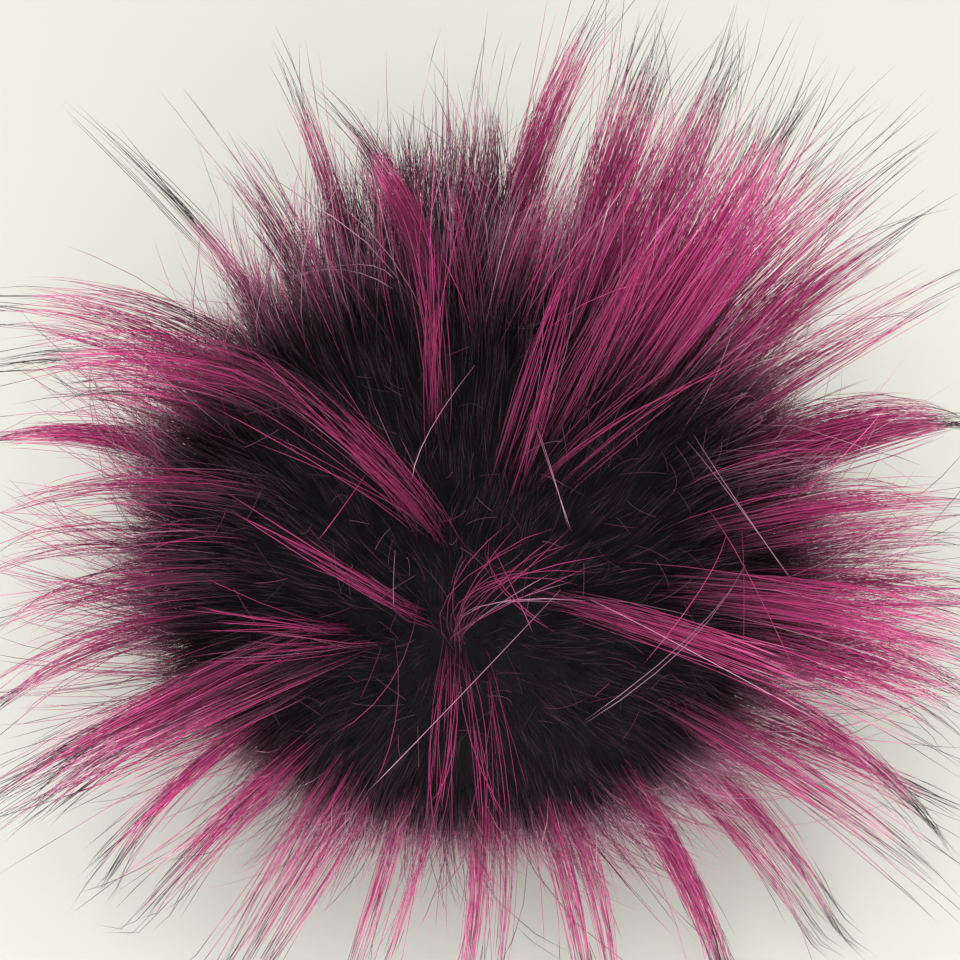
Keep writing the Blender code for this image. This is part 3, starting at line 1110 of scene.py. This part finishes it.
def growSideLocks(ends, material):
    rng = np.random.default_rng(sideLook["seed"])
    locks = []
    leftOut = inGap(np.array([root.lerp(tip, sideLook["gapShare"]) for root, tip in ends]))
    for (root, tip), skipped in zip(ends, leftOut):
        if skipped:
            continue
        facing = (root - ballCentre).normalized().dot(dialToward)
        front = smoothstep(*sideLook["frontEdge"], facing)
        fan = root.x > sideLook["fanRightOf"] and (root - ballCentre).dot(dialUp) > sideLook["fanAbove"]
        edge = 0 if fan else smoothstep(*sideLook["outerEdge"], facing)
        thinned = (1 - front * sideLook["frontThinning"]) * (1 - edge * sideLook["edgeThinning"])
        hairs = int(rng.integers(*sideLook["hairs"]) * thinned)
        rootWide = rng.uniform(*sideLook["rootWide"])
        tipWide = rng.uniform(*sideLook["tipWide"])
        behind = sideLook["colourFromBehind"]
        colourFrom = behind + (sideLook["colourFromFront"] - behind) * front
        vivid = sideLook["vividFan"] if fan else rng.choice(sideLook["vividElsewhere"])
        look = {**sideLook, "vivid": vivid}
        locks.append((root, lockHairs(root, tip, hairs, rootWide, tipWide, colourFrom, look, rng)))
    return sideMeshes("side_locks", locks, material)


def growLooseHairs(material):
    rng = np.random.default_rng(looseLook["seed"])
    spots = evenSpots(looseLook["hairs"], rng, looseLook["jitter"])
    roots = centre + spots * halfSizes
    nap = napOf(roots)
    keep = (roots[:, 2] > lock["lowestRoot"]) & (nap @ toward < lock["bareFacing"])
    roots, nap = roots[keep], nap[keep]
    heading = unit(nap + rng.normal(0, looseLook["spread"], nap.shape))
    share = rng.uniform(*lock["reachShares"], len(roots))
    share *= 1 - lock["underShortening"] * np.maximum(-nap[:, 2], 0)
    outermost = (lock["reachOut"], lock["reachOut"], lock["reachUp"])
    tips = centre + heading * outermost * share[:, None]
    tips[:, 2] = np.maximum(tips[:, 2] - lock["droop"] * (1 - np.abs(nap[:, 2])), 0)
    reach = rng.uniform(*looseLook["lengths"], len(roots))
    points, radii, marks = hairPaths(roots, tips, reach, looseLook["colourFrom"], looseLook, rng)
    tones = rng.uniform(0, 1, len(roots))
    return strandMesh("loose_hairs", [(points, radii, tones, marks)], material)


rimHaze = {
    "hairs": 15000,  # before those off the rim are left out
    "jitter": 0.02,
    "fullness": 1.35,
    "fadeUnder": (-0.6, 0.1),
    "lowestRoot": 3 * mm,
    "lengths": (6.0, 14.0),  # mm
    "spread": 0.18,
    "rise": 0.5,
    "lift": (0.1, 1.2),  # mm that a hair is held above the floor
    "thickness": (0.05, 0.08),
    # light marks: partly the fur's own mauve, partly painted back-light glow at the rim
    "marks": (0.02, 0.24, 0.40, 0.54),
    "ragged": (0.85, 1.1),
    "vivid": 0.25,
    "seed": 24,
}


def growRimHaze(material):
    rng = np.random.default_rng(rimHaze["seed"])
    spots = evenSpots(rimHaze["hairs"], rng, rimHaze["jitter"])
    roots = onBase(spots)
    chance = rimShare(outOf(spots)) * rimHaze["fullness"] * smoothstep(*rimHaze["fadeUnder"], spots[:, 2])
    keep = (roots[:, 2] > rimHaze["lowestRoot"]) & (rng.uniform(0, 1, len(roots)) < chance)
    roots, spots = roots[keep], spots[keep]
    nap = napOf(roots)
    heading = unit(nap + rng.normal(0, rimHaze["spread"], nap.shape))
    length = rng.uniform(*rimHaze["lengths"], len(roots))[:, None] * mm
    bend = roots + spots * length * rimHaze["rise"]
    tips = roots + heading * length
    clear = (tips[:, 2] > underfur["lowestTip"]) & ~inGap(tips)
    roots, bend, tips = roots[clear], bend[clear], tips[clear]
    count = len(roots)
    shares = np.linspace(0, 1, len(rimHaze["marks"]))[:, None]
    paths = curved(roots[:, None], bend[:, None], tips[:, None], shares)
    liftOffFloor(paths[:, 1:], rimHaze, rng)
    radii = rng.uniform(*rimHaze["thickness"], count)[:, None] * mm / 2 * np.ones(len(shares) - 1)
    # partly painted back-light: these rim hairs sit high on the light part of the ramp
    marks = np.array(rimHaze["marks"]) * rng.uniform(*rimHaze["ragged"], count)[:, None]
    tones = hued(rng, rng.uniform(0, 1, count), rimHaze["vivid"])
    return strandMesh("rim_haze", [(paths, radii, tones, marks)], material)


# Single hairs that cross the dark face: dial millimetres and the height over the ball, at three places

strayRows = (
    # x, y, height, x, y, height, x, y, height, hairs, spread, tone, first mark, last mark
    (10.2, -6, 5, -3, -19.8, 9, -13.8, -30.8, 9, 1, 0, 0.20, 0.30, 0.50),
    (30.1, 0.4, 8, 27, -6, 9, 20, -15, 10, 1, 0, 0.85, 0.34, 0.46),
    (32.4, -3.2, 8, 25, -12, 9, 13.1, -22.1, 10, 2, 0.5, 0.42, 0.26, 0.50),
    (13.8, -7.2, 6, 26, -13.5, 9, 45, -24, 9, 1, 0, 0.45, 0.36, 0.60),
    (32, 1, 6, 32.2, -6, 8, 32, -14, 9, 1, 0, 0.80, 0.28, 0.36),
    (25.8, 12, 5, 31.8, 4.8, 8, 39.6, -8.4, 9, 2, 1, 0.40, 0.30, 0.60),
    (7.2, 13.8, 5, 9, 8.4, 7, 11.8, 1.4, 7, 2, 0.5, 0.45, 0.30, 0.50),
    (0, 21, 6, -5.4, 13.2, 8, -7.6, 7.2, 7, 1, 0, 0.48, 0.30, 0.50),
    (-22.2, 31.8, 6, -15, 33, 8, -9.6, 30.6, 7, 2, 0.6, 0.30, 0.35, 0.55),
    (-2.4, -12.6, 2, -1, -6.5, 6, 5.4, -1.2, 10, 8, 2.2, 0.80, 0.14, 0.34),
    (-2.4, -12.6, 2, 2, -6.5, 6, 14, -0.7, 10, 8, 1.6, 0.70, 0.14, 0.34),
    (-2, -12, 2, 1.5, -8.5, 6, 11, -5.8, 9, 4, 1.4, 0.30, 0.18, 0.44),
    (1.8, -0.6, 5, 4.2, -6, 8, 7.2, -11.4, 8, 3, 1.2, 0.90, 0.25, 0.45),
    (-9.6, -1.2, 7, -9.8, -4.8, 7, -9.8, -8.4, 6, 1, 0, 0.10, 0.36, 0.50),
    (28, 3.5, 5, 33, -4.8, 8, 40.4, -20.8, 9, 1, 0, 0.85, 0.26, 0.46),
    (-13.2, 7.8, 6, -16, 3.8, 8, -19, -0.2, 8, 1, 0, 0.75, 0.28, 0.36),
    (-2.2, -13.5, 2, -3.5, -24, 7, -5, -35, 8, 8, 1.4, 0.90, 0.16, 0.36),
    (-1.6, -13.5, 2, 0.5, -24, 7, 2.5, -35, 8, 8, 1.2, 0.80, 0.16, 0.36),
    (-6.8, -7.2, 3, -10.2, -17, 6, -17.4, -23.4, 7, 1, 0, 0.80, 0.16, 0.32),
    (-9.6, -12, 4, -9.6, -21.6, 6, -12.6, -30, 7, 1, 0, 0.60, 0.16, 0.32),
)

strays = {
    "places": 7,
    "thickness": (0.055, 0.085),
    "wander": (0.25, 0.6, 1.0),  # how unevenly a group's hairs pass its three places
    "toneUnrest": 0.04,
    "specks": 240,  # short faint hairs on the dark face
    "speckArea": (-32, 32, -25, 34),
    "speckLength": (2.0, 6.0),
    "speckBow": 0.25,
    "speckThickness": 0.05,
    "speckHeight": (3.0, 6.5),
    "speckTone": (0, 0.8),
    "speckMark": (0.06, 0.24),
    "seed": 25,
}


def dialPoint(x, y, height):
    depth = (dialRoot(x, y) - ballCentre).dot(dialToward) / mm
    return dialTip(x, y, depth + height)


def growStrays(material):
    rng = np.random.default_rng(strays["seed"])
    shares = np.linspace(0, 1, strays["places"])[:, None]
    paths, radii, tones, marks = [], [], [], []
    for *numbers, hairs, spread, tone, markFrom, markTo in strayRows:
        places = [np.array(dialPoint(*numbers[start:start + 3])) for start in (0, 3, 6)]
        for _ in range(hairs):
            first, passed, last = (place + rng.normal(0, wander, 3) * spread * mm
                                   for place, wander in zip(places, strays["wander"]))
            bend = passed * 2 - (first + last) / 2
            paths.append(curved(first, bend, last, shares))
            radii.append(np.full(len(shares) - 1, rng.uniform(*strays["thickness"]) * mm / 2))
            tones.append(tone + rng.uniform(-strays["toneUnrest"], strays["toneUnrest"]))
            marks.append(np.interp(shares[:, 0], (0, 1), (markFrom, markTo)))
    left, right, low, high = strays["speckArea"]
    for _ in range(strays["specks"]):
        x, y = rng.uniform(left, right), rng.uniform(low, high)
        way = rng.normal(0, 1, 3)
        way = way / np.linalg.norm(way) * rng.uniform(*strays["speckLength"]) * mm
        middle = np.array(dialPoint(x, y, rng.uniform(*strays["speckHeight"])))
        bow = rng.normal(0, strays["speckBow"], 3) * mm
        paths.append(middle + way * (shares - 0.5) + bow * 4 * shares * (1 - shares))
        radii.append(np.full(len(shares) - 1, strays["speckThickness"] * mm / 2))
        tones.append(rng.uniform(*strays["speckTone"]))
        marks.append(np.full(len(shares), rng.uniform(*strays["speckMark"])))
    batch = [np.array(rows) for rows in (paths, radii, tones, marks)]
    return strandMesh("stray_hairs", [batch], material)


stage = {
    "floorSize": 4.0,
    "floorDrop": 0.2 * mm,  # under the flat spot, so that they don't share a plane
}


def addFloor(material):
    deselectAll()
    bpy.ops.mesh.primitive_plane_add(size=stage["floorSize"], location=-up * stage["floorDrop"])
    floor = bpy.context.active_object
    floor.name = "floor"
    floor.data.materials.append(material)


addFloor(newCloudMaterial("paleFloor", floorFinish)[0])
pieces = [addPileBase(backingMaterial())]
pieces += growUnderfur(underfurMaterial())
print("underfur grown")

guard = guardMaterial()
mainEnds, tuftEnds = ([(dialRoot(*row[:2]), dialTip(*row[2:5])) for row in rows]
                      for rows in (mainLockRows, softTuftRows))
pieces += growMainLocks(mainEnds + tuftEnds, guard)
pieces += growSideLocks(sideLockEnds(mainEnds), guard)
pieces.append(growLooseHairs(guard))
pieces.append(growRimHaze(guard))
pieces.append(growStrays(guard))
print("locks grown")

for piece in pieces:
    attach(piece, "root")
    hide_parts("fur_ball")
